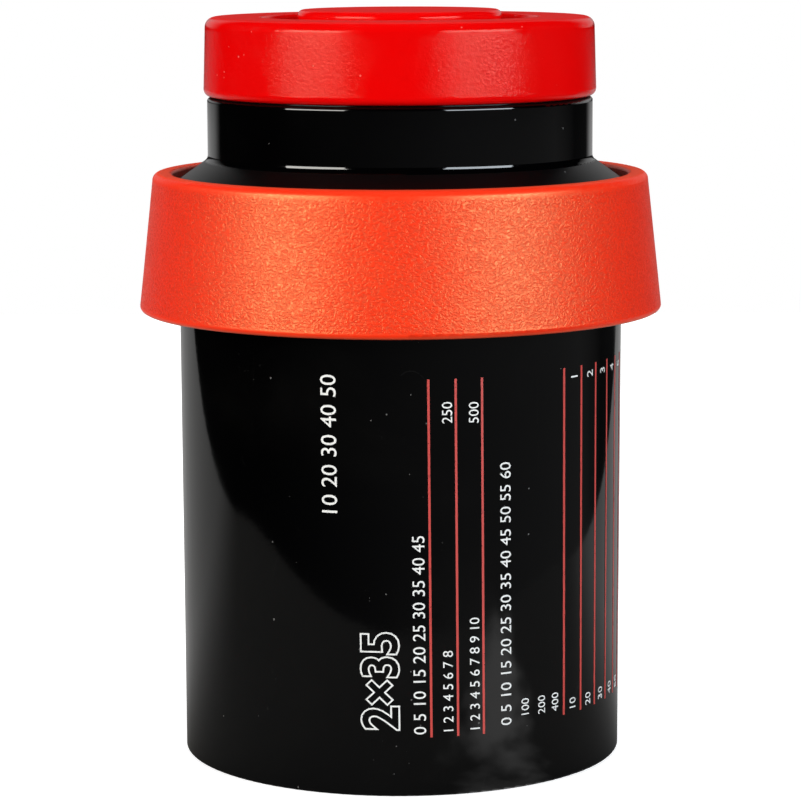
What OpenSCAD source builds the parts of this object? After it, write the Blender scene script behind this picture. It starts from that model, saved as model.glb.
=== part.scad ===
// Film developing canister for two reels of 35 mm film, in millimetres.
// Plus Z is up along the axis of the tank, and the origin is the centre of its foot.
// From the floor up: cup, core with two spiral reels, lid with funnel and seal, lock ring, push-on cap.

/* [Tank body] */
// Outside diameter of the body just under the lock ring
body_d = 86; // [84:0.5:90]
// Height of the sealing rim above the foot
rim_z = 104; // [103.5:0.5:108]
// How much narrower the foot is than the top, across the diameter
body_taper = 0.5; // [0:0.1:1]
// Wall thickness of the body
body_wall = 2; // [1.6:0.1:2.4]
// Thickness of the floor
floor_t = 2.4; // [1.8:0.1:2.6]
// Height of the hollow under the floor
foot_recess = 1.6; // [1:0.1:1.8]
// Radius of the outer edge of the foot
foot_edge_r = 0.5; // [0.4:0.1:1.8]
// How far the sealing rim stands out from the wall
rim_out = 2.2; // [1.8:0.1:2.4]
// Thickness of the sealing rim
rim_t = 2.2; // [1.8:0.1:2.6]

/* [Core] */
// Outside diameter of the core tube
core_d = 24; // [22:0.5:25]
// Wall thickness of the core tube
core_wall = 1.8; // [1.5:0.1:2]
// Height of the top of the core above the sealing rim, below it when negative
core_top_drop = -0.5; // [-1.5:0.25:0.5]
// Diameter of the foot flange of the core
core_flange_d = 60; // [50:1:66]
// Height of the drain windows under the foot flange
window_h = 3.2; // [2.6:0.1:3.4]
// Number of foot ribs and drain windows
core_ribs = 6; // [4:1:8]

/* [Reels] */
// Width of the film that the reels are set to
film_w = 35; // [34:0.25:35]
// Turns of the spiral groove
spiral_turns = 10; // [8:1:10]
// Thickness of the spiral rib
rib_t = 0.8; // [0.6:0.05:0.9]
// Depth of the spiral groove
groove_h = 3; // [2.4:0.1:3.4]
// Thickness of the spokes and rims
plate_t = 2.4; // [2:0.1:2.6]
// Free height between the upper reel and the sealing rim
head_room = 2.5; // [2:0.1:4]
// Number of spokes
spokes = 6; // [5:1:8]
// Extra width at the widest setting, for roll film
width_travel = 26.5; // [20:0.5:26.5]

/* [Lid] */
// Outside diameter of the neck
neck_d = 74.5; // [73:0.5:76]
// Height of the neck above the cone
neck_h = 11.8; // [9:0.1:14]
// Height of the cone
cone_h = 4.6; // [2:0.2:6]
// Height of the outer edge of the cone above the sealing rim
cone_rise = 7.4; // [6:0.2:10]
// Wall thickness of the lid
lid_wall = 2.2; // [1.8:0.1:2.4]
// Radius of the hollow fillet between neck and cone
neck_fillet_r = 1.5; // [0.5:0.1:2]
// Radius of the edge at the top of the neck
neck_edge_r = 0.7; // [0.3:0.1:1]
// Wall thickness of the pouring tube of the funnel
spout_wall = 1.8; // [1.4:0.1:2.2]
// How deep the pouring tube reaches below the sealing rim
spout_drop = 18; // [14:0.5:26]

/* [Lock ring] */
// How far the lower edge of the ring stands out from the body
ring_low_out = 7.8; // [7:0.1:9]
// How far the upper edge of the ring stands out from the body
ring_top_out = 4.85; // [4.5:0.05:6]
// Height of the ring
ring_h = 26.7; // [22:0.1:30]
// Height of the upper edge of the ring above the sealing rim
ring_rise = 9.4; // [8:0.1:10.6]
// Wall thickness of the finger grip
ring_wall = 2.3; // [1.8:0.1:2.6]
// Radius of the upper outer edge of the ring
ring_edge_r = 1.4; // [0.8:0.1:1.8]

/* [Cap] */
// How far the lower edge of the cap stands out from the neck
cap_out = 0.7; // [0.2:0.1:1.6]
// How much narrower the cap is at its top, across the diameter
cap_taper = 0.9; // [0:0.1:1.2]
// Height of the cap from its lower edge to its rim
cap_h = 15.2; // [13:0.05:18]
// Thickness of the rim and the discs of the cap
cap_t = 2; // [1.6:0.1:2.2]
// Width of the flat rim of the cap
cap_rim_w = 10.9; // [10:0.1:13]
// Width of the channel between the rim and the raised disc
channel_w = 6.9; // [5:0.1:9]
// Height of the raised disc above the rim
disc_rise = 1.3; // [0.4:0.1:2]
// Depth of the channel below the rim
channel_deep = 5.6; // [4:0.2:6.4]
// Radius of the upper outer edge of the cap
cap_edge_r = 2; // [0.6:0.1:2.2]

/* [Hidden] */
$fn = 128;

// Fits: faces that rest on one another, sliding fits and free clearance
rest = 0.05;
slide = 0.1;
free = 0.3;

// Body
body_r = body_d / 2;
foot_r = body_r - body_taper / 2;
floor_z = foot_recess + floor_t;
rim_r = body_r + rim_out;
bore_top_r = body_r - body_wall;
bore_foot_r = foot_r - body_wall;
upright_h = 12;

// Core
core_r = core_d / 2;
core_bore_r = core_r - core_wall;
core_foot_z = floor_z + rest;
flange_z = floor_z + window_h;
flange_t = 1.8;
flange_top_z = flange_z + flange_t;
core_top_z = rim_z + core_top_drop;

// Reels
film_play = 0.4;
film_gap = film_w + film_play;
reel_r = bore_foot_r - 0.95;
hub_in_r = core_r + free - 0.05;
hub_mid_r = hub_in_r + 1.15;
hub_out_r = hub_mid_r + slide + 1.4;
spiral_r0 = hub_out_r + 1.4;
nose_r = rib_t / 2 + 0.3;
rim_w = 1.4;
pitch = (reel_r - rim_w - 0.4 - nose_r - spiral_r0) / spiral_turns;
reel_h = (rim_z - head_room - flange_top_z) / 2 - rest;
standoff = (reel_h - film_gap) / 2 - plate_t;
upper_plate_z = standoff + plate_t + film_gap;
reel_a_z = flange_top_z + rest;
reel_b_z = reel_a_z + reel_h + rest;
lip_h = 3;
stud_r = 1;
stud_z = standoff + plate_t + groove_h + stud_r;
slot_w = 2 * stud_r + 2 * free;
mid_width = 11;

// Lid
neck_r = neck_d / 2;
neck_bore_r = neck_r - lid_wall;
skirt_r = body_r + 0.7;
skirt_bore_r = skirt_r - lid_wall;
lid_z = rim_z + 2 * rest;
lid_flange_t = 3;
lid_flange_z = lid_z + lid_flange_t;
cone_edge_z = rim_z + cone_rise;
neck_foot_z = cone_edge_z + cone_h;
neck_top_z = neck_foot_z + neck_h;
cone_slope = (neck_foot_z - cone_edge_z) / (skirt_r - neck_r);
cone_drop = lid_wall * sqrt(1 + cone_slope * cone_slope);
lip_out_r = bore_top_r - 0.4;
lip_in_r = lip_out_r - 1.7;
lip_z = rim_z - head_room - standoff + 2;
step_z = neck_top_z - lid_wall;
spigot_r = neck_r - 1.95;
spigot_bore_r = spigot_r - 2.1;
cap_low_z = neck_top_z + 0.25;
cap_top_z = cap_low_z + cap_h;
spigot_top_z = cap_top_z - cap_t - rest;

// Gasket
gasket_in_r = body_r - 1;
gasket_out_r = body_r + 1.4;
gasket_top_z = lid_z + 1.5;

// Funnel
funnel_t = 2;
spout_out_r = core_bore_r - 0.8;
spout_r = spout_out_r - spout_wall;
spout_z = rim_z - spout_drop;
bowl_r = neck_bore_r - funnel_t;
bowl_top_z = step_z - 2.4;
throat_z = rim_z + 5;
bowl_slope = (bowl_top_z - throat_z) / (bowl_r - spout_r);
bowl_drop = funnel_t * sqrt(1 + bowl_slope * bowl_slope);

// Lock ring
ring_low_r = body_r + ring_low_out;
ring_top_r = body_r + ring_top_out;
ring_top_z = rim_z + ring_rise;
ring_low_z = ring_top_z - ring_h;
ring_in_r = skirt_r + 0.45;
ring_seat_z = lid_flange_z + rest;
ring_seat_r = rim_r + 0.8;
bead_r = rim_r + free;
bead_top_z = rim_z - rim_t - free;
bead_low_z = bead_top_z - 2.2;
grip_top_z = bead_low_z - 1.8;
ring_draft = (ring_low_r - ring_top_r) / (ring_top_z - ring_low_z);

// Cap
cap_r = neck_r + cap_out;
cap_top_r = cap_r - cap_taper / 2;
cap_under_z = cap_top_z - cap_t;
cap_bore_r = spigot_r + free;
plug_r = spigot_bore_r - 0.2;
plug_low_z = cap_low_z + 3.6;
disc_top_z = cap_top_z + disc_rise;
channel_r = cap_top_r - cap_rim_w;
disc_r = channel_r - channel_w;
channel_z = cap_top_z - channel_deep;

// Colours
gloss_black = [0.03, 0.03, 0.035];
matt_black = [0.06, 0.06, 0.065];
natural = [0.9, 0.89, 0.84];
rubber_grey = [0.1, 0.1, 0.1];
ring_red = [0.93, 0.2, 0.08];
cap_red = [0.9, 0.03, 0.03];

function unit(v) = v / norm(v);

// Patch between the corner p, whose sides run towards a and b, and an arc of radius r that touches both sides.
// It reaches a little beyond the corner, so that it joins or cuts cleanly.
module corner(p, a, b, r) {
    ua = unit(a - p);
    ub = unit(b - p);
    half = acos(ua * ub) / 2;
    centre = p + unit(ua + ub) * r / sin(half);
    beyond = p - unit(ua + ub) * 0.2;
    difference() {
        polygon([beyond, p + ua * r / tan(half), centre, p + ub * r / tan(half)]);
        translate(centre)
            circle(r);
    }
}

// Outline with edges rounded off and hollow corners filled, each given as [point number, radius]
module rounded(points, edges, hollows) {
    n = len(points);
    difference() {
        union() {
            polygon(points);
            for (c = hollows)
                corner(points[c[0]], points[(c[0] + n - 1) % n], points[(c[0] + 1) % n], c[1]);
        }
        for (c = edges)
            corner(points[c[0]], points[(c[0] + n - 1) % n], points[(c[0] + 1) % n], c[1]);
    }
}

// Cup with a drafted wall, a standing ring around the hollow foot, a boss for the core and a sealing rim
module tank_body() {
    color(gloss_black) {
        rotate_extrude()
            rounded(
                [
                    [foot_r - 4, 0],
                    [foot_r, 0],
                    [foot_r, foot_edge_r + 1],
                    [body_r, rim_z - upright_h],
                    [body_r, rim_z - rim_t],
                    [rim_r, rim_z - rim_t],
                    [rim_r, rim_z],
                    [bore_top_r, rim_z],
                    [bore_top_r, rim_z - upright_h],
                    [bore_foot_r, floor_z + 5],
                    [bore_foot_r, floor_z],
                    [core_bore_r - free, floor_z],
                    [core_bore_r - free, flange_z - free],
                    [0, flange_z - free],
                    [0, foot_recess],
                    [foot_r - 4, foot_recess]
                ],
                [[0, 0.5], [1, foot_edge_r], [5, 0.4], [6, 0.4], [7, 0.4], [12, 0.8]],
                [[4, 0.8], [10, 3]]
            );
    }
}

// Centre column: tube with a flared mouth, foot flange, foot ribs and drain windows between them
module core_tube() {
    color(matt_black)
        difference() {
            union() {
                rotate_extrude()
                    rounded(
                        [
                            [core_bore_r, core_foot_z],
                            [core_r, core_foot_z],
                            [core_r, flange_z],
                            [core_flange_d / 2, flange_z],
                            [core_flange_d / 2, flange_top_z],
                            [core_r, flange_top_z],
                            [core_r, core_top_z],
                            [core_r - 0.5, core_top_z],
                            [core_bore_r, core_top_z - 3]
                        ],
                        [[3, 0.4], [4, 0.6], [6, 0.25]],
                        []
                    );
                for (k = [0 : core_ribs - 1])
                    rotate(360 / core_ribs * k)
                        translate([core_r - 0.5, -0.9, core_foot_z])
                            cube([core_flange_d / 2 - core_r - 1.5, 1.8, window_h]);
            }
            for (k = [0 : core_ribs - 1])
                rotate(360 / core_ribs * (k + 0.5))
                    translate([core_bore_r - 2, -2.6, core_foot_z - 1])
                        cube([6, 5.2, window_h + 0.4]);
        }
}

// Half of one thin ring in plan, on the plus Y side or the minus Y side
module half_turn(r, shift, side) {
    intersection() {
        translate([shift, 0])
            difference() {
                circle(r + rib_t / 2);
                circle(r - rib_t / 2);
            }
        translate([-reel_r * 2, side > 0 ? 0 : -reel_r * 2])
            square([reel_r * 4, reel_r * 2]);
    }
}

// Spiral rib in plan: half turns about two centres that lie half a pitch apart
module spiral_plan() {
    for (j = [0 : spiral_turns - 1]) {
        half_turn(spiral_r0 + j * pitch, 0, 1);
        half_turn(spiral_r0 + (j + 0.5) * pitch, pitch / 2, -1);
    }
}

// One side of a reel with its back at z 0: spokes, rims, spiral rib and the rounded nose where film enters
module reel_side() {
    difference() {
        union() {
            cylinder(r = hub_out_r + 0.6, h = plate_t);
            for (k = [0 : spokes - 1])
                rotate(360 / spokes * (k + 0.5))
                    translate([0, -1.6, 0])
                        cube([reel_r - rim_w / 2, 3.2, plate_t]);
        }
        translate([0, 0, -1])
            cylinder(r = hub_mid_r + slide, h = plate_t + 2);
    }
    rotate_extrude()
        rounded(
            [
                [reel_r - rim_w, 0],
                [reel_r, 0],
                [reel_r, plate_t],
                [reel_r - rim_w, plate_t]
            ],
            [[1, 0.5], [2, 0.5]],
            []
        );
    translate([0, 0, plate_t - 0.8])
        linear_extrude(groove_h + 0.8)
            spiral_plan();
    translate([spiral_r0 + spiral_turns * pitch, 0, plate_t - 0.8])
        cylinder(r = nose_r, h = groove_h + 0.8);
}

// Lower half of a reel: outer hub tube with a lip that runs on the core and a slot for the width stud
module lower_half() {
    translate([0, 0, standoff])
        reel_side();
    difference() {
        rotate_extrude()
            polygon([
                [hub_in_r, 0],
                [hub_out_r, 0],
                [hub_out_r + 2, standoff],
                [hub_out_r, standoff + 0.6],
                [hub_out_r, upper_plate_z - 0.6],
                [hub_mid_r + slide, upper_plate_z - 0.6],
                [hub_mid_r + slide, lip_h],
                [hub_in_r, lip_h]
            ]);
        translate([-slot_w / 2, hub_in_r, stud_z - slot_w / 2])
            cube([slot_w, hub_out_r, width_travel + slot_w]);
        for (z = [0, mid_width, width_travel])
            translate([0, hub_in_r, stud_z - slot_w / 2 + z])
                cube([slot_w / 2 + 3, hub_out_r, slot_w]);
    }
}

// Upper half of a reel: inner hub tube that telescopes into the lower half, with the width stud
module upper_half() {
    translate([0, 0, upper_plate_z + plate_t])
        mirror([0, 0, 1])
            reel_side();
    rotate_extrude()
        polygon([
            [hub_in_r, lip_h + free],
            [hub_mid_r, lip_h + free],
            [hub_mid_r, upper_plate_z],
            [hub_out_r, upper_plate_z],
            [hub_out_r + 2, upper_plate_z + plate_t],
            [hub_out_r, reel_h],
            [hub_in_r, reel_h]
        ]);
    translate([0, hub_mid_r - 0.5, stud_z])
        rotate([-90, 0, 0])
            cylinder(r = stud_r, h = 1.6);
}

module reel_a_lower() {
    color(natural)
        translate([0, 0, reel_a_z])
            lower_half();
}

module reel_a_upper() {
    color(natural)
        translate([0, 0, reel_a_z])
            upper_half();
}

module reel_b_lower() {
    color(natural)
        translate([0, 0, reel_b_z])
            lower_half();
}

module reel_b_upper() {
    color(natural)
        translate([0, 0, reel_b_z])
            upper_half();
}

// Lid: stepped spigot for the cap, neck, cone and skirt, with a flange over the rim and a lip inside the cup
module lid_shell() {
    color(gloss_black)
        rotate_extrude()
            rounded(
                [
                    [spigot_bore_r, spigot_top_z],
                    [spigot_bore_r, step_z],
                    [neck_bore_r, step_z],
                    [neck_bore_r, neck_foot_z + cone_slope * lid_wall - cone_drop],
                    [skirt_bore_r, cone_edge_z + cone_slope * lid_wall - cone_drop],
                    [skirt_bore_r, lid_flange_z - 1],
                    [lip_in_r, lid_flange_z - 1],
                    [lip_in_r, lip_z],
                    [lip_out_r, lip_z],
                    [lip_out_r, lid_z],
                    [gasket_in_r, lid_z],
                    [gasket_in_r, gasket_top_z],
                    [gasket_out_r, gasket_top_z],
                    [gasket_out_r, lid_z],
                    [rim_r, lid_z],
                    [rim_r, lid_flange_z],
                    [skirt_r, lid_flange_z],
                    [skirt_r, cone_edge_z],
                    [neck_r, neck_foot_z],
                    [neck_r, neck_top_z],
                    [spigot_r, neck_top_z],
                    [spigot_r, spigot_top_z]
                ],
                [[0, 0.5], [8, 0.6], [15, 0.4], [17, 1], [19, neck_edge_r], [21, 0.6]],
                [[18, neck_fillet_r]]
            );
}

// Funnel pressed into the neck from below: a bowl with a rim, and the tube that reaches into the core
module lid_funnel() {
    color(matt_black)
        rotate_extrude()
            rounded(
                [
                    [spout_r, spout_z],
                    [spout_out_r, spout_z],
                    [spout_out_r, throat_z + bowl_slope * (spout_out_r - spout_r) - bowl_drop],
                    [bowl_r, bowl_top_z - bowl_drop],
                    [bowl_r, bowl_top_z - bowl_drop - 2],
                    [neck_bore_r, bowl_top_z - bowl_drop - 2],
                    [neck_bore_r, step_z],
                    [bowl_r, step_z],
                    [bowl_r, bowl_top_z],
                    [spout_r, throat_z]
                ],
                [[0, 0.4], [1, 0.4], [9, 3]],
                [[2, 1], [8, 1.5]]
            );
}

// Seal that sits in the groove under the lid and presses on the rim of the cup
module lid_gasket() {
    color(rubber_grey)
        rotate_extrude()
            translate([gasket_in_r, rim_z + rest])
                square([gasket_out_r - gasket_in_r, gasket_top_z - rim_z - rest]);
}

// Soft ring: shoulder over the flange of the lid, snap bead below the rim, hollow finger grip that flares out
module lock_ring() {
    color(ring_red)
        rotate_extrude()
            rounded(
                [
                    [ring_low_r - ring_wall, ring_low_z],
                    [ring_low_r, ring_low_z],
                    [ring_top_r, ring_top_z],
                    [ring_in_r, ring_top_z],
                    [ring_in_r, ring_seat_z],
                    [ring_seat_r, ring_seat_z],
                    [ring_seat_r, bead_top_z],
                    [bead_r, bead_top_z - 0.5],
                    [bead_r, bead_low_z],
                    [ring_low_r - ring_wall - ring_draft * (grip_top_z - ring_low_z), grip_top_z]
                ],
                [[0, 0.6], [1, 1], [2, ring_edge_r], [3, 0.7]],
                [[9, 2]]
            );
}

// Cap: skirt over the spigot, plug inside it, and a bellows channel around the raised disc
module cap() {
    color(cap_red)
        rotate_extrude()
            rounded(
                [
                    [0, disc_top_z - cap_t],
                    [disc_r - cap_t, disc_top_z - cap_t],
                    [disc_r - cap_t, channel_z - cap_t],
                    [channel_r + cap_t, channel_z - cap_t],
                    [channel_r + cap_t, cap_under_z],
                    [plug_r - 1.8, cap_under_z],
                    [plug_r - 1.8, plug_low_z],
                    [plug_r, plug_low_z],
                    [plug_r, cap_under_z],
                    [cap_bore_r, cap_under_z],
                    [cap_bore_r, cap_low_z],
                    [cap_r, cap_low_z],
                    [cap_top_r, cap_top_z],
                    [channel_r, cap_top_z],
                    [channel_r, channel_z],
                    [disc_r, channel_z],
                    [disc_r, disc_top_z],
                    [0, disc_top_z]
                ],
                [[7, 0.8], [10, 0.3], [11, 1.4], [12, cap_edge_r], [13, 0.9], [16, 1.2]],
                [[14, 1], [15, 1]]
            );
}

tank_body();
core_tube();
reel_a_lower();
reel_a_upper();
reel_b_lower();
reel_b_upper();
lid_shell();
lid_funnel();
lid_gasket();
lock_ring();
cap();
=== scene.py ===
"""Looks of a film developing canister, dressed around its CAD frame, in metres; its front faces minus Y."""
import math

import bmesh
import bpy
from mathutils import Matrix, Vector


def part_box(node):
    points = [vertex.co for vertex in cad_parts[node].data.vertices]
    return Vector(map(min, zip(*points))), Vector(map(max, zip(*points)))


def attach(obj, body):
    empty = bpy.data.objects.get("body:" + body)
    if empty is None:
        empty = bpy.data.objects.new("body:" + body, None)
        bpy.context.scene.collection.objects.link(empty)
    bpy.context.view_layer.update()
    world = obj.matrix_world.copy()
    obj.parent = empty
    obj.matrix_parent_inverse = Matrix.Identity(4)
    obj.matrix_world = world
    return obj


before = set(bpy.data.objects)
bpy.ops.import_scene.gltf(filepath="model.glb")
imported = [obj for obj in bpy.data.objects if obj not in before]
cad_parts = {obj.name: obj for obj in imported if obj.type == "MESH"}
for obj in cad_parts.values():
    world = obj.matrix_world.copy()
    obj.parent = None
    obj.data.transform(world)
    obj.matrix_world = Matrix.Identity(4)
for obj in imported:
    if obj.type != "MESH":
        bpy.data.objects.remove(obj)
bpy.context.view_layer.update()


# Cup. One deep moulding in hard black plastic, as glossy as the polished mould that it came from.
# Bench life leaves dust specks, hairline scratches and dried smears on it.
def put(tree, kind, sockets=None, **options):
    """Add a node. A socket takes a plain value, or the output that feeds it."""
    node = tree.nodes.new("ShaderNode" + kind)
    for name, value in options.items():
        setattr(node, name, value)
    for socket, value in (sockets or {}).items():
        if isinstance(value, bpy.types.NodeSocket):
            tree.links.new(value, node.inputs[socket])
        else:
            node.inputs[socket].default_value = value
    return node


def reckon(tree, operation, *values):
    """Product, difference, comparison or the like of these values."""
    return put(tree, "Math", dict(enumerate(values)), operation=operation).outputs[0]


def ramp(tree, value, start, end, low=0.0, high=1.0, soft=False):
    """Value that goes from low to high as another goes from start to end, with eased ends if soft."""
    limits = {"Value": value, "From Min": start, "From Max": end, "To Min": low, "To Max": high}
    easing = "SMOOTHSTEP" if soft else "LINEAR"
    return put(tree, "MapRange", limits, interpolation_type=easing).outputs["Result"]


def between(tree, share, low, high):
    """Value that goes from low to high as the share goes from 0 to 1."""
    return ramp(tree, share, 0, 1, low, high)


def blend_colours(tree, share, under, over):
    """Colour that goes from one to the other as the share goes from 0 to 1."""
    mix = put(tree, "Mix", {0: share}, data_type="RGBA")
    for slot, colour in ((6, under), (7, over)):
        if isinstance(colour, bpy.types.NodeSocket):
            tree.links.new(colour, mix.inputs[slot])
        else:
            mix.inputs[slot].default_value = (*colour, 1)
    return mix.outputs[2]


def place_on(tree):
    """Place on a piece, in its own metres."""
    return put(tree, "TexCoord").outputs["Object"]


def noise(tree, place, per_metre, detail, **more):
    """Cloudy pattern with about this many lumps to the metre."""
    sockets = {"Vector": place, "Scale": per_metre, "Detail": detail, **more}
    return put(tree, "TexNoise", sockets).outputs[0]


def effect(name, amounts, results):
    """Start a node group that takes these amounts and gives these results."""
    group = bpy.data.node_groups.new(name, "ShaderNodeTree")
    for label, value in amounts.items():
        socket = group.interface.new_socket(label, in_out="INPUT", socket_type="NodeSocketFloat")
        socket.default_value = value
    for label in results:
        group.interface.new_socket(label, in_out="OUTPUT", socket_type="NodeSocketFloat")
    taken = group.nodes.new("NodeGroupInput").outputs
    given = group.nodes.new("NodeGroupOutput").inputs
    return group, taken, given


def lay(tree, group, amounts):
    """Result of an effect that is placed in a material with these amounts."""
    return put(tree, "Group", amounts, node_tree=group).outputs[0]


def finish(name):
    """Start a material; gives it with its node tree and its shader."""
    material = bpy.data.materials.new(name)
    material.use_nodes = True
    return material, material.node_tree, material.node_tree.nodes["Principled BSDF"]


def skin(tree, shader, colour, rough):
    """Give a surface its colour and its roughness."""
    tree.links.new(colour, shader.inputs["Base Color"])
    tree.links.new(rough, shader.inputs["Roughness"])


def relief(tree, shader, height, strength, depth):
    """Give a surface a fine relief of this depth."""
    bump = put(tree, "Bump", {"Strength": strength, "Distance": depth, "Height": height})
    tree.links.new(bump.outputs[0], shader.inputs["Normal"])


# Dust: round specks of uneven size, only in some cells, so that they lie scattered
dust, taken, given = effect("dust", {"Cells per metre": 380, "Size": 0.1, "Share": 0.5}, ["Specks"])
cells = put(dust, "TexVoronoi", {"Vector": place_on(dust), "Scale": taken["Cells per metre"]})
lot = put(dust, "SeparateColor", {"Color": cells.outputs["Color"]}).outputs
reach = reckon(dust, "MULTIPLY", taken["Size"], lot["Red"])
inside = reckon(dust, "LESS_THAN", cells.outputs["Distance"], reach)
kept = reckon(dust, "LESS_THAN", lot["Green"], taken["Share"])
dust.links.new(reckon(dust, "MULTIPLY", inside, kept), given["Specks"])

# Smears: cloudy patches where wet fingers and drips have dried
smear_thickest = 0.85
smears, taken, given = effect("smears", {"Patches per metre": 30, "Cover": 0.5}, ["Film"])
cloud = noise(smears, place_on(smears), taken["Patches per metre"], detail=5, Distortion=0.6)
bare = reckon(smears, "SUBTRACT", 1, taken["Cover"])
smears.links.new(ramp(smears, cloud, bare, smear_thickest, soft=True), given["Film"])

# Scratches: contour lines of a noise that is drawn out along the height, broken up by a second noise
scratch_slant = (0.12, 0.05, 0)
scratch_stretch = (1, 1, 0.12)
scratch_level = 0.5
scratch_breaks_per_metre = 160
scratch_break_level = 0.56
scratches, taken, given = effect("scratches", {"Lines per metre": 90, "Width": 0.004}, ["Lines"])
place = place_on(scratches)
drawn_out = put(
    scratches, "Mapping", {"Vector": place, "Rotation": scratch_slant, "Scale": scratch_stretch}
).outputs[0]
run = noise(scratches, drawn_out, taken["Lines per metre"], detail=1)
off_line = reckon(scratches, "ABSOLUTE", reckon(scratches, "SUBTRACT", run, scratch_level))
line = reckon(scratches, "LESS_THAN", off_line, taken["Width"])
breaks = noise(scratches, place, scratch_breaks_per_metre, detail=2)
shown = reckon(scratches, "GREATER_THAN", breaks, scratch_break_level)
scratches.links.new(reckon(scratches, "MULTIPLY", line, shown), given["Lines"])

# Bloom: the more a face points up, the more fine dust dulls it
bloom, taken, given = effect("bloom", {"Starts": 0.75, "Full": 0.97, "Most": 0.8}, ["Dullness"])
facing = put(bloom, "SeparateXYZ", {"Vector": put(bloom, "NewGeometry").outputs["Normal"]}).outputs["Z"]
dullness = ramp(bloom, facing, taken["Starts"], taken["Full"], high=taken["Most"])
bloom.links.new(dullness, given["Dullness"])


def gloss_black(name, smear_cover):
    """Polished black plastic under dust, scratches and smears."""
    plastic_black = (0.0005, 0.0005, 0.0006)
    smear_grey = (0.0018, 0.0017, 0.0016)
    dust_grey = (0.10, 0.098, 0.095)
    clean_rough, smeared_rough = 0.06, 0.17
    scratch_shows = 0.04
    ripples_per_metre, ripple_strength, ripple_depth = 260, 0.12, 0.00004
    material, tree, shader = finish(name)
    loose = lay(tree, dust, {"Cells per metre": 420, "Size": 0.09, "Share": 0.16})
    fine = lay(tree, dust, {"Cells per metre": 1700, "Size": 0.30, "Share": 0.3})
    flocks = lay(tree, smears, {"Patches per metre": 95, "Cover": 0.37})
    specks = reckon(tree, "MAXIMUM", loose, reckon(tree, "MULTIPLY", fine, flocks))
    lines = lay(tree, scratches, {"Lines per metre": 58, "Width": 0.0004})
    film = lay(tree, smears, {"Patches per metre": 26, "Cover": smear_cover})
    settled = lay(tree, bloom, {"Starts": 0.6, "Full": 0.8, "Most": 0.36})
    colour = blend_colours(tree, film, plastic_black, smear_grey)
    colour = blend_colours(tree, reckon(tree, "MULTIPLY", lines, scratch_shows), colour, dust_grey)
    colour = blend_colours(tree, specks, colour, dust_grey)
    rough = reckon(tree, "MAXIMUM", between(tree, film, clean_rough, smeared_rough), settled)
    skin(tree, shader, colour, reckon(tree, "MAXIMUM", rough, specks))
    ripples = noise(tree, place_on(tree), ripples_per_metre, detail=2)
    relief(tree, shader, ripples, ripple_strength, ripple_depth)
    shader.inputs["IOR"].default_value = 1.5
    return material


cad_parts["tank_body"].data.materials[0] = gloss_black("cup_gloss_black", smear_cover=0.52)


# Print on the cup. Red rules with rows of plain white numbers beside them, screen-printed on the wall.
# The ink is a film of a few hundredths of a millimetre, rubbed thin in places.
wall_foot_r = 0.04275
wall_top_r = 0.043
wall_foot_z = 0.0022
wall_top_z = 0.092
ink_rise = 0.00004
ink_strip_w = 0.0008
ink_strip_h = 0.006
print_low = 0.0113
print_high = 0.0785
print_twist = math.radians(0.66)


def girth(turn):
    """Length along the girth of the wall, for a turn in degrees from the front."""
    return math.radians(turn) * wall_top_r


def on_wall(across, up):
    """Point on the wall, from lengths measured along its girth from the front and up from the foot."""
    share = (up - wall_foot_z) / (wall_top_z - wall_foot_z)
    radius = wall_foot_r + (wall_top_r - wall_foot_r) * share + ink_rise
    middle = (print_low + print_high) / 2
    turn = across / wall_top_r + print_twist * (middle - up) / (print_high - print_low)
    return radius * math.sin(turn), -radius * math.cos(turn), up


def bar(ink, middle, width, low, high):
    """Printed bar that stands up the wall, laid as strips that follow it."""
    left, right = middle - width / 2, middle + width / 2
    columns = max(1, math.ceil((right - left) / ink_strip_w))
    rows = max(1, math.ceil((high - low) / ink_strip_h))
    grid = [
        [
            ink.verts.new(on_wall(left + (right - left) * i / columns, low + (high - low) * j / rows))
            for i in range(columns + 1)
        ]
        for j in range(rows + 1)
    ]
    for j in range(rows):
        for i in range(columns):
            ink.faces.new((grid[j][i], grid[j][i + 1], grid[j + 1][i + 1], grid[j + 1][i]))


def number(ink, text, line, low, height, gap=0.0, length=None, outline=0.0):
    """Numbers that read upwards, feet a gap left of a line; fitted to a length or outlined if asked."""
    figure_share = 0.69
    feet = line - gap
    letters = bpy.data.curves.new("letters", "FONT")
    letters.body = text
    letters.size = height / figure_share
    letters.resolution_u = 4
    if outline:
        letters.fill_mode = "NONE"
        letters.offset = 2 * outline
        letters.bevel_depth = outline
        letters.bevel_resolution = 0
    holder = bpy.data.objects.new("letters", letters)
    bpy.context.scene.collection.objects.link(holder)
    depsgraph = bpy.context.evaluated_depsgraph_get()
    flat = bmesh.new()
    flat.from_mesh(holder.evaluated_get(depsgraph).to_mesh())
    if outline:
        bmesh.ops.delete(flat, geom=[side for side in flat.faces if side.normal.z < 0], context="FACES")
    for k in range(1, math.ceil(height / ink_strip_w)):
        bmesh.ops.bisect_plane(
            flat, geom=flat.verts[:] + flat.edges[:] + flat.faces[:],
            plane_co=(0, ink_strip_w * k, 0), plane_no=(0, 1, 0),
        )
    stretch = length / max(v.co.x for v in flat.verts) if length else 1
    new = {v: ink.verts.new(on_wall(feet - v.co.y, low + v.co.x * stretch)) for v in flat.verts}
    for side in flat.faces:
        ink.faces.new([new[v] for v in side.verts])
    flat.free()
    bpy.data.objects.remove(holder)


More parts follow.
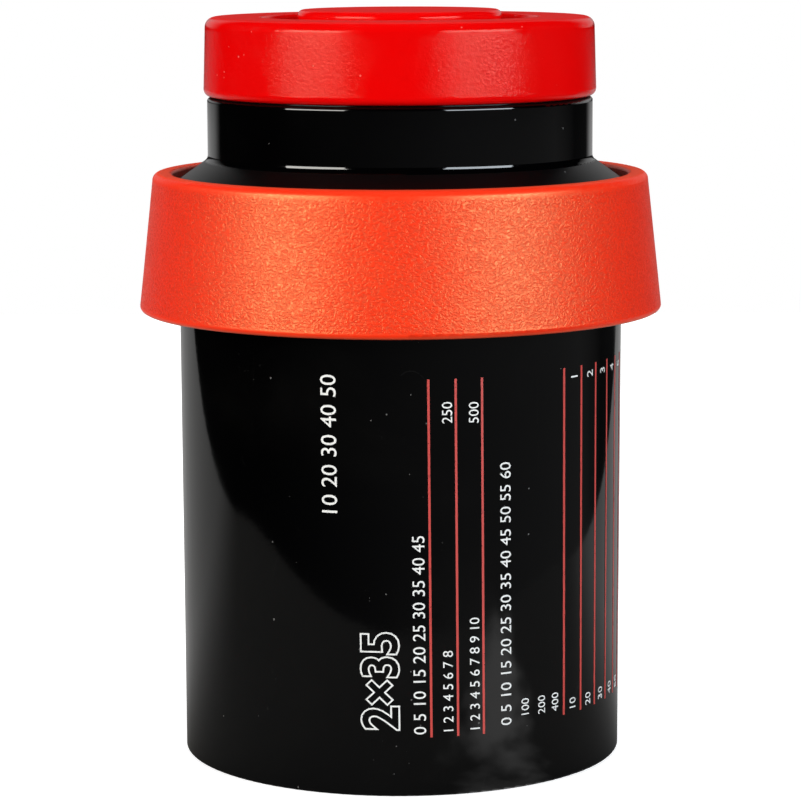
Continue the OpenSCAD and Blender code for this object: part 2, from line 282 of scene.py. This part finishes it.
def printed(name, ink, colour, worn_colour):
    """Turn the inked faces into a piece on the cup, in rubbed ink of this colour."""
    ink_rough, worn_rough = 0.42, 0.62
    worn_cover = 0.35
    mesh = bpy.data.meshes.new(name)
    ink.normal_update()
    for side in ink.faces:
        centre = side.calc_center_median()
        if side.normal.x * centre.x + side.normal.y * centre.y < 0:
            side.normal_flip()
    ink.to_mesh(mesh)
    ink.free()
    piece = bpy.data.objects.new(name, mesh)
    bpy.context.scene.collection.objects.link(piece)
    material, tree, shader = finish(name)
    wear_and_lip_highlight = lay(tree, smears, {"Patches per metre": 700, "Cover": 0.46})
    colour = blend_colours(tree, wear_and_lip_highlight, colour, worn_colour)
    skin(tree, shader, colour, between(tree, wear_and_lip_highlight, ink_rough, worn_rough))
    gone = lay(tree, dust, {"Cells per metre": 2600, "Size": 0.32, "Share": 0.35})
    tree.links.new(between(tree, gone, 1, worn_cover), shader.inputs["Alpha"])
    mesh.materials.append(material)
    film = piece.modifiers.new("film", "SOLIDIFY")
    film.thickness = ink_rise
    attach(piece, "tank")


red_ink, worn_red_ink = (0.55, 0.060, 0.050), (0.30, 0.025, 0.022)
fill_rule_w = 0.00044
fill_rule_first = girth(7.0)
fill_rule_step = girth(6.78)
fill_rules = [fill_rule_first + fill_rule_step * k for k in range(3)]
film_rule_w = fill_rule_w * 1.24
film_rule_first = girth(45.45)
film_rule_step = fill_rule_step * 1.02
film_rules = [film_rule_first + film_rule_step * k for k in range(6)]
film_rule_low = print_low + 0.0011
film_rule_high = print_high + 0.0003
rules = bmesh.new()
for rule in fill_rules:
    bar(rules, rule, fill_rule_w, print_low, print_high)
for rule in film_rules:
    bar(rules, rule, film_rule_w, film_rule_low, film_rule_high)
printed("print_rules", rules, red_ink, worn_red_ink)

white_ink, worn_white_ink = (0.80, 0.79, 0.77), (0.48, 0.47, 0.46)
row_low = 0.0118
marks = bmesh.new()
number(marks, "10 20 30 40 50", girth(-15.9), low=0.0526, height=0.0030, length=0.0266)
for rule, label, height, gap, length in (
    (fill_rules[0], "0 5 10 15 20 25 30 35 40 45", 0.0023, 0.0010, 0.0376),
    (fill_rules[1], "1 2 3 4 5 6 7 8", 0.0019, 0.0009, 0.0158),
    (fill_rules[2], "1 2 3 4 5 6 7 8 9 10", 0.0019, 0.0008, 0.0218),
):
    number(marks, label, rule, row_low, height, gap, length)
number(marks, "250", fill_rules[1], low=0.0702, height=0.0019, gap=0.0007)
number(marks, "500", fill_rules[2], low=0.0700, height=0.0019, gap=0.0007)
number(marks, "0 5 10 15 20 25 30 35 40 45 50 55 60", girth(28.25), low=0.0124, height=0.0022, length=0.0500)
for turn, label in ((33.5, "100"), (38.7, "200"), (43.3, "400")):
    number(marks, label, girth(turn), low=0.0135, height=0.0017)
for rule, label in zip(film_rules[1:], ("1", "2", "3", "4", "5")):
    number(marks, label, rule, low=0.0762, height=0.0020, gap=0.0012)
for rule, label in zip(film_rules[1:], ("10", "20", "30", "40", "50")):
    number(marks, label, rule, low=0.0128, height=0.0018, gap=0.0017)
number(marks, "2×35", girth(-1.4), low=0.0128, height=0.0065, length=0.0186, outline=0.00016)
printed("print_marks", marks, white_ink, worn_white_ink)


# Core. A tube in satin black plastic, moulded in one piece with its foot flange.
# It carries the reels, keeps light out, and stands loose on the floor of the cup.
def satin_black(name, clean_rough, smeared_rough):
    """Black plastic from an eroded mould, with a fine even grain."""
    plastic_black = (0.016, 0.016, 0.017)
    smear_grey = (0.026, 0.026, 0.027)
    grain_per_metre, grain_strength, grain_depth = 2600, 0.35, 0.00006
    material, tree, shader = finish(name)
    film = lay(tree, smears, {"Patches per metre": 40, "Cover": 0.5})
    colour = blend_colours(tree, film, plastic_black, smear_grey)
    skin(tree, shader, colour, between(tree, film, clean_rough, smeared_rough))
    grain = noise(tree, place_on(tree), grain_per_metre, detail=3)
    relief(tree, shader, grain, grain_strength, grain_depth)
    return material


core_black = satin_black("core_satin_black", clean_rough=0.34, smeared_rough=0.5)
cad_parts["core_tube"].data.materials[0] = core_black


# Reels. Four moulded half reels in natural, slightly see-through plastic, two to a reel.
# The upper half telescopes on the hub of the lower one, and both slide over the core.
# Developer stains the plastic a little towards amber.
reel_milky = (0.72, 0.70, 0.63)
reel_amber = (0.64, 0.58, 0.46)
reel_clean_rough, reel_stained_rough = 0.36, 0.5
wax_per_metre, wax_strength, wax_depth = 900, 0.2, 0.00005
reel_plastic, tree, shader = finish("reel_natural_plastic")
stain = lay(tree, smears, {"Patches per metre": 55, "Cover": 0.58})
colour = blend_colours(tree, stain, reel_milky, reel_amber)
skin(tree, shader, colour, between(tree, stain, reel_clean_rough, reel_stained_rough))
relief(tree, shader, noise(tree, place_on(tree), wax_per_metre, detail=2), wax_strength, wax_depth)
shader.inputs["Subsurface Weight"].default_value = 0.15
shader.inputs["Subsurface Radius"].default_value = (0.002, 0.0016, 0.001)
for half in ("reel_a_lower", "reel_a_upper", "reel_b_lower", "reel_b_upper"):
    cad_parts[half].data.materials[0] = reel_plastic


# Lid. A gloss black shell with neck and cone, and a satin black funnel that is pressed into the neck.
# A rubber seal lies in a groove below, squeezed between lid and cup.
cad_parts["lid_shell"].data.materials[0] = gloss_black("lid_gloss_black", smear_cover=0.46)
funnel_black = satin_black("funnel_satin_black", clean_rough=0.3, smeared_rough=0.42)
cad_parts["lid_funnel"].data.materials[0] = funnel_black

rubber_black = (0.022, 0.022, 0.022)
chalk_grey = (0.05, 0.05, 0.048)
rubber_rough, chalky_rough = 0.6, 0.8
seal_rubber, tree, shader = finish("seal_rubber")
chalk = lay(tree, smears, {"Patches per metre": 120, "Cover": 0.6})
colour = blend_colours(tree, chalk, rubber_black, chalk_grey)
skin(tree, shader, colour, between(tree, chalk, rubber_rough, chalky_rough))
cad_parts["lid_gasket"].data.materials[0] = seal_rubber


# Lock ring. Soft orange-red plastic that snaps over the rims of cup and lid and holds them together.
# Its outside has a leather grain from the mould, for wet hands, with painted shade darkening its creases;
# its lower edge has a painted highlight, a paler orange band.
crease_stretch = (1, 1, 1.5)
crease_bottom, pad_top = 0.32, 0.64
leather, taken, given = effect("leather", {"Creases per metre": 700, "Waviness": 0.5}, ["Height"])
lying = put(leather, "Mapping", {"Vector": place_on(leather), "Scale": crease_stretch}).outputs[0]
folds = noise(leather, lying, taken["Creases per metre"], detail=2, Distortion=taken["Waviness"])
leather.links.new(ramp(leather, folds, crease_bottom, pad_top), given["Height"])

ring_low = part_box("lock_ring")[0].z
ring_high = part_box("lock_ring")[1].z
# Painted highlight: a paler orange band along the lower edge, where the rounded lip would catch the lamps.
lip_highlight_to, lip_highlight_full_to = ring_low + 0.0007, ring_low + 0.0003
grain_from, grain_full_from = ring_low + 0.0009, ring_low + 0.0015
grain_to, grain_full_to = ring_high - 0.0012, ring_high - 0.0020
ring_red, clouded_red = (0.90, 0.018, 0.002), (0.90, 0.026, 0.003)
crease_shade_red, lip_highlight_red = (0.68, 0.008, 0.002), (0.92, 0.11, 0.045)
crease_rough, pad_rough = 0.48, 0.32
lip_highlight_share = 0.5
leather_strength, leather_depth = 0.55, 0.00012
soft_red, tree, shader = finish("ring_soft_red")
up = put(tree, "SeparateXYZ", {"Vector": place_on(tree)}).outputs["Z"]
wear_and_lip_highlight = reckon(tree, "MULTIPLY", ramp(tree, up, lip_highlight_to, lip_highlight_full_to, soft=True), lip_highlight_share)
above = ramp(tree, up, grain_from, grain_full_from)
under = ramp(tree, up, grain_to, grain_full_to)
grip = reckon(tree, "MULTIPLY", above, under)
grain = lay(tree, leather, {"Creases per metre": 1600, "Waviness": 0.7})
# Painted shade: the creases of the grain are darkened in colour.
crease_shade = reckon(tree, "MULTIPLY", between(tree, grain, 1, 0), grip)
cloud = lay(tree, smears, {"Patches per metre": 45, "Cover": 0.55})
settled = lay(tree, bloom, {"Starts": 0.75, "Full": 0.97, "Most": 0.75})
colour = blend_colours(tree, cloud, ring_red, clouded_red)
colour = blend_colours(tree, crease_shade, colour, crease_shade_red)
colour = blend_colours(tree, wear_and_lip_highlight, colour, lip_highlight_red)
skin(tree, shader, colour, reckon(tree, "MAXIMUM", between(tree, grain, crease_rough, pad_rough), settled))
relief(tree, shader, grain, reckon(tree, "MULTIPLY", grip, leather_strength), leather_depth)
shader.inputs["Specular IOR Level"].default_value = 0.88
shader.inputs["Specular Tint"].default_value = (1, 0.95, 0.38, 1)
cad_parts["lock_ring"].data.materials[0] = soft_red


# Cap. One moulding in soft red plastic, pushed over the spigot of the lid.
# Its bellows channel lets the raised disc be pressed, and the soft surface takes up dust.
cap_disc_rise = 0.0013
cap_edge_r = 0.002
cap_wall_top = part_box("cap")[1].z - cap_disc_rise - cap_edge_r
cap_wall_fade = 0.0006
cap_red, clouded_cap_red = (0.71, 0.0006, 0.0008), (0.715, 0.003, 0.002)
cap_dust = (0.9, 0.35, 0.3)
cap_dust_shows = 0.35
cap_smooth_rough, cap_mottled_rough = 0.10, 0.22
cap_grain_per_metre, cap_grain_depth = 1600, 0.00011
wall_grain, top_grain = 0.6, 0.08
cap_soft_red, tree, shader = finish("cap_soft_red")
place = place_on(tree)
specks = lay(tree, dust, {"Cells per metre": 700, "Size": 0.13, "Share": 0.16})
cloud = lay(tree, smears, {"Patches per metre": 60, "Cover": 0.5})
mottle = lay(tree, smears, {"Patches per metre": 260, "Cover": 0.66})
settled = lay(tree, bloom, {"Starts": 0.75, "Full": 0.97, "Most": 0.8})
colour = blend_colours(tree, cloud, cap_red, clouded_cap_red)
colour = blend_colours(tree, reckon(tree, "MULTIPLY", specks, cap_dust_shows), colour, cap_dust)
rough = between(tree, mottle, cap_smooth_rough, cap_mottled_rough)
skin(tree, shader, colour, reckon(tree, "MAXIMUM", rough, settled))
grain = noise(tree, place, cap_grain_per_metre, detail=5, Roughness=0.66)
up = put(tree, "SeparateXYZ", {"Vector": place}).outputs["Z"]
coarse = ramp(tree, up, cap_wall_top - cap_wall_fade, cap_wall_top, wall_grain, top_grain)
relief(tree, shader, grain, coarse, cap_grain_depth)
shader.inputs["Specular IOR Level"].default_value = 0.16
shader.inputs["Specular Tint"].default_value = (1, 0.92, 0.7, 1)
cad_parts["cap"].data.materials[0] = cap_soft_red


# Paper. A sheet of pale paper on the table, round in front and spreading towards the back.
# Camera rays see it as white, with a soft shade about the tank.
# Gloss sees it as dim as the black plastic shows it in the photograph, with painted light seen only in
# reflections: a glow towards the back and a glowing patch at the right.
sheet_middle = -0.0325
sheet_half_w = 0.2725
sheet_front = 0.178
sheet_back = 0.70
sheet_spread_left, sheet_spread_right = 0.42, 0.20
sheet_drop = 0.00005
arc_steps = 48
sheet_edge = []
for k in range(arc_steps + 1):
    turn = math.pi * k / arc_steps
    sheet_edge.append((sheet_middle - sheet_half_w * math.cos(turn), -sheet_front * math.sin(turn), 0))
sheet_edge.append((sheet_middle + sheet_half_w + sheet_spread_right * sheet_back, sheet_back, 0))
sheet_edge.append((sheet_middle - sheet_half_w - sheet_spread_left * sheet_back, sheet_back, 0))
sheet_mesh = bpy.data.meshes.new("paper_sheet")
sheet_mesh.from_pydata(sheet_edge, [], [range(len(sheet_edge))])
sheet = bpy.data.objects.new("paper_sheet", sheet_mesh)
sheet.location.z = -sheet_drop
bpy.context.scene.collection.objects.link(sheet)


def straight_view(tree, path):
    """Share of the rays that come straight to the camera, or through something clear."""
    return reckon(tree, "MAXIMUM", path["Is Camera Ray"], path["Is Transmission Ray"])


def choose(tree, share, under, over):
    """Value that goes from one to the other as the share goes from 0 to 1; each may be an output."""
    return put(tree, "Mix", {0: share, 2: under, 3: over}, data_type="FLOAT").outputs[0]


pale_paper = (0.6, 0.6, 0.6)
dim_paper, dim_fibre = (0.138, 0.135, 0.130), (0.118, 0.115, 0.111)
fibres_per_metre = 60
glow_from, glow_full_from, glow_most = -0.02, 0.09, 0.3
glow_patch_place = (0.083, -0.090, 0)
glow_patch_turn = (0, 0, math.radians(-38))
glow_patch_size = (0.095, 0.029, 1)
glow_patch_wobbles_per_metre, glow_patch_wobble = 45, 1.4
glow_patch_edge, glow_patch_full, glow_patch_most = 1.7, 1.1, 0.7
shade_inner_r, shade_outer_r, shade_level = 0.045, 0.15, 0.7
paper_white, tree, shader = finish("paper_white")
path = put(tree, "LightPath").outputs
seen = straight_view(tree, path)
place = place_on(tree)
in_reflection = blend_colours(tree, noise(tree, place, fibres_per_metre, detail=3), dim_paper, dim_fibre)
tree.links.new(blend_colours(tree, seen, in_reflection, pale_paper), shader.inputs["Base Color"])
shader.inputs["Roughness"].default_value = 0.9
shader.inputs["Specular IOR Level"].default_value = 0.0
shader.inputs["Emission Color"].default_value = (1, 1, 1, 1)
away = put(tree, "SeparateXYZ", {"Vector": place}).outputs["Y"]
# Painted light for gloss only: a glow towards the back, and a glowing patch at the right in place of a lit
# patch on the table.
far_glow = ramp(tree, away, glow_from, glow_full_from, high=glow_most, soft=True)
glow_patch = put(
    tree, "Mapping",
    {"Vector": place, "Location": glow_patch_place, "Rotation": glow_patch_turn, "Scale": glow_patch_size},
    vector_type="TEXTURE",
).outputs[0]
off_glow_patch = put(tree, "VectorMath", {0: glow_patch}, operation="LENGTH").outputs["Value"]
ragged = noise(tree, place, glow_patch_wobbles_per_metre, detail=4)
off_glow_patch = reckon(tree, "MULTIPLY_ADD", ragged, glow_patch_wobble, off_glow_patch)
patch_glow = ramp(tree, off_glow_patch, glow_patch_edge, glow_patch_full, high=glow_patch_most, soft=True)
glow = reckon(tree, "MAXIMUM", far_glow, patch_glow)
glow = reckon(tree, "MULTIPLY", glow, path["Is Glossy Ray"])
off_tank = put(tree, "VectorMath", {0: place}, operation="LENGTH").outputs["Value"]
white = ramp(tree, off_tank, shade_inner_r, shade_outer_r, low=shade_level, soft=True)
tree.links.new(choose(tree, seen, glow, white), shader.inputs["Emission Strength"])
sheet_mesh.materials.append(paper_white)


# Room. Camera rays see a plain white backdrop, and matt faces get an even low light from all round.
# Gloss sees a dark room: low down a dim floor, lighter to the right, and a pale table at the far end;
# higher up, behind the tank, a brighter wing of the backdrop on either side.
room_left_level, room_right_level = 0, 0.12
room_end_from, room_end_to, room_end_level = 0.25, 0.6, 0.15
table_lean, table_from, table_full_from, table_level = -0.10, 0.77, 0.9, 0.45
horizon, horizon_full = -0.03, -0.07
wing_inner, wing_outer, wing_inner_level, wing_outer_level = 0.08, 0.2, 0.08, 0.42
wing_low, wing_full = 0.0, 0.05
wing_side, wing_behind = 0.7, 0.85
matt_level = 0.18
backdrop_level = 1.0
world = bpy.data.worlds.new("studio")
bpy.context.scene.world = world
world.use_nodes = True
tree = world.node_tree
tree.nodes.clear()
looking = put(tree, "SeparateXYZ", {"Vector": put(tree, "TexCoord").outputs["Generated"]}).outputs
below = ramp(tree, looking["Z"], horizon, horizon_full, soft=True)
room = ramp(tree, looking["X"], -1, 1, room_left_level, room_right_level)
far_end = ramp(tree, looking["Y"], room_end_from, room_end_to, 1, room_end_level)
room = reckon(tree, "MULTIPLY", reckon(tree, "MULTIPLY", room, far_end), below)
lean = reckon(tree, "MULTIPLY_ADD", looking["X"], table_lean, looking["Y"])
table = reckon(tree, "MULTIPLY", ramp(tree, lean, table_from, table_full_from, soft=True), below)
level = choose(tree, table, room, table_level)
aside = reckon(tree, "ABSOLUTE", looking["X"])
wings = ramp(tree, aside, wing_inner, wing_outer, wing_inner_level, wing_outer_level, soft=True)
wings = reckon(tree, "MULTIPLY", wings, ramp(tree, looking["Z"], wing_low, wing_full))
wings = reckon(tree, "MULTIPLY", wings, ramp(tree, looking["Y"], wing_side, wing_behind))
level = reckon(tree, "MAXIMUM", level, wings)
path = put(tree, "LightPath").outputs
level = choose(tree, path["Is Diffuse Ray"], level, matt_level)
level = choose(tree, straight_view(tree, path), level, backdrop_level)
light = put(tree, "Background", {"Color": (1, 1, 1, 1), "Strength": level})
tree.links.new(light.outputs[0], put(tree, "OutputWorld").inputs["Surface"])


# Lamps and camera. Wide soft lamps stand left and right in front, and gloss shows these two.
# Weaker ones behind, above and far to both sides fill in; gloss doesn't show them.
# The camera's place is fitted to the rims in the photograph.
lamp_aim_z = 0.07


def softbox(name, azimuth, elevation, size, power, distance=1.0, colour=(1, 1, 1), in_gloss=False):
    """Wide lamp aimed at the middle of the tank, at angles in degrees from the front."""
    lamp = bpy.data.lights.new(name, "AREA")
    lamp.shape = "RECTANGLE"
    lamp.size, lamp.size_y = size
    lamp.energy = power
    lamp.color = colour
    box = bpy.data.objects.new(name, lamp)
    side, rise = math.radians(azimuth), math.radians(elevation)
    flat = distance * math.cos(rise)
    box.location = (flat * math.sin(side), -flat * math.cos(side), lamp_aim_z + distance * math.sin(rise))
    box.rotation_euler = (math.radians(90 - elevation), 0, side)
    box.visible_camera = False
    box.visible_glossy = in_gloss
    bpy.context.scene.collection.objects.link(box)


softbox("softbox_left", -51, 15, size=(0.68, 0.32), power=8.5, colour=(1, 0.98, 0.92), in_gloss=True)
softbox("softbox_right", 47.5, 15, size=(0.76, 0.32), power=9.3, colour=(0.85, 0.93, 1), in_gloss=True)
softbox("softbox_back", 180, 50, size=(0.8, 0.8), power=4.5, distance=1.2)
softbox("softbox_above", 0, 88, size=(0.8, 0.8), power=2)
softbox("softbox_far_left", -100, 20, size=(0.6, 0.6), power=1.5)
softbox("softbox_far_right", 100, 20, size=(0.6, 0.6), power=0.9)

camera = bpy.data.objects.new("camera", bpy.data.cameras.new("camera"))
camera.data.sensor_width = 36
camera.data.lens = 147
camera.location = (-0.00009, -0.6345, 0.1627)
camera.rotation_euler = tuple(math.radians(turn) for turn in (81.5366, 0.2009, -0.0299))
bpy.context.scene.collection.objects.link(camera)
bpy.context.scene.camera = camera
bpy.context.scene.view_settings.view_transform = "Standard"
